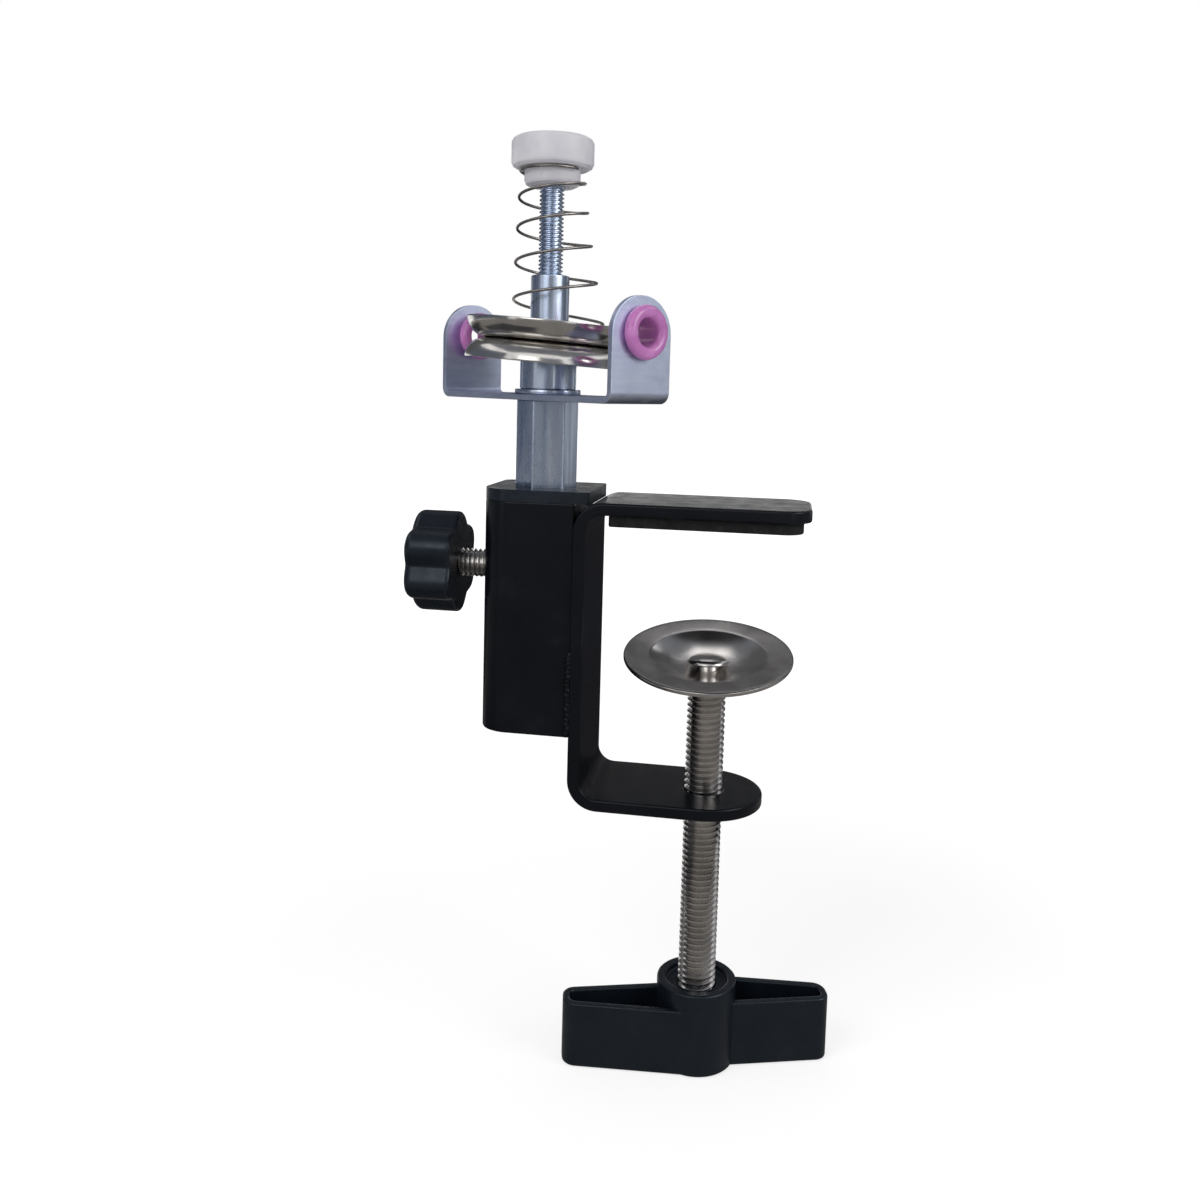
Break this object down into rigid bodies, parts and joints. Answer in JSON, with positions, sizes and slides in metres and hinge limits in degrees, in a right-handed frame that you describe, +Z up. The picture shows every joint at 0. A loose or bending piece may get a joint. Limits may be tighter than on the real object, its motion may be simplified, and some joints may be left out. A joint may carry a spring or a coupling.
{
  "type": "clamp-on yarn tensioner",
  "caption": "Clamp-on yarn tensioner: a bent-strip table clamp with an adjustable post that carries sprung tension discs between the eyelets of a swivelling bracket.",
  "frame": {"origin": "on the clamp screw's axis at the underside of the jaw pad, where the table top lies", "axes": "+Z up along the post and the clamp screw, +X from the post towards the tips of the jaws, +Y away from the viewer of the picture"},
  "size_m": [0.0899, 0.046, 0.1899],
  "materials": {
    "black_enamel": "satin",
    "pad_foam": "matt",
    "black_plastic": "satin",
    "nickel": "bright",
    "zinc": "bright",
    "bracket_zinc": "satin",
    "pink_ceramic": "gloss",
    "disc_chrome": "mirror",
    "spring_steel": "bright",
    "white_nylon": "satin, slightly translucent"
  },
  "bodies": {
    "clamp": {"clamp_frame": "black_enamel", "jaw_pad": "pad_foam", "post_channel": "black_enamel", "weld_beads": "black_enamel", "post_cap": "black_plastic", "guide_bush": "black_plastic"},
    "clamp_pad": {"clamp_pad": "nickel"},
    "clamp_screw": {"clamp_screw": "nickel", "wing_knob": "black_plastic"},
    "thumb_screw": {"thumb_screw": "nickel"},
    "thumb_knob": {"thumb_knob": "black_plastic"},
    "spindle": {"hex_rod": "zinc", "stud": "zinc", "sleeve": "zinc", "spacer_collar": "zinc", "washer": "zinc"},
    "guide_bracket": {"guide_bracket": "bracket_zinc", "eyelet_left": "pink_ceramic", "eyelet_right": "pink_ceramic"},
    "lower_disc": {"lower_disc": "disc_chrome"},
    "upper_disc": {"upper_disc": "disc_chrome"},
    "tension_spring": {"tension_spring": "spring_steel"},
    "tension_nut": {"tension_nut": "white_nylon"}
  },
  "joints": [
    {"name": "pad_travel", "type": "slide", "parent": "clamp", "child": "clamp_pad", "axis": [0, 0, 1], "range_m": [-0.02125, 0.02125]},
    {"name": "clamp_turn", "type": "hinge", "parent": "clamp_pad", "child": "clamp_screw", "pos_m": [0, 0, -0.06], "axis": [0, 0, 1], "range_deg": [-6120, 6120]},
    {"name": "thumb_travel", "type": "slide", "parent": "clamp", "child": "thumb_screw", "axis": [1, 0, 0], "range_m": [-0.004, 0]},
    {"name": "thumb_turn", "type": "hinge", "parent": "thumb_screw", "child": "thumb_knob", "pos_m": [-0.0579, 0, -0.0102], "axis": [1, 0, 0], "range_deg": [-1440, 0]},
    {"name": "post_height", "type": "slide", "parent": "clamp", "child": "spindle", "axis": [0, 0, 1], "range_m": [-0.016, 0.025]},
    {"name": "bracket_swivel", "type": "hinge", "parent": "spindle", "child": "guide_bracket", "pos_m": [-0.0346, 0, 0.0242], "axis": [0, 0, 1], "continuous": true},
    {"name": "lower_disc_spin", "type": "hinge", "parent": "spindle", "child": "lower_disc", "pos_m": [-0.0346, 0, 0.03578], "axis": [0.0698, 0, 0.9976], "continuous": true},
    {"name": "upper_disc_lift", "type": "slide", "parent": "spindle", "child": "upper_disc", "axis": [0, 0, 1], "range_m": [0, 0.0015], "stiffness_N_per_m": 400, "springref_m": -0.002},
    {"name": "nut_travel", "type": "slide", "parent": "spindle", "child": "tension_spring", "axis": [0, 0, 1], "range_m": [-0.016, 0], "deforming": ["tension_spring"]},
    {"name": "nut_turn", "type": "hinge", "parent": "tension_spring", "child": "tension_nut", "pos_m": [-0.0346, 0, 0.073], "axis": [0, 0, 1], "range_deg": [-7200, 0]}
  ],
  "couplings": [
    {"joint": "pad_travel", "follows": "clamp_turn", "m_per_rad": 0.00019894},
    {"joint": "thumb_travel", "follows": "thumb_turn", "m_per_rad": 0.00015915},
    {"joint": "nut_travel", "follows": "nut_turn", "m_per_rad": 0.00012732}
  ]
}
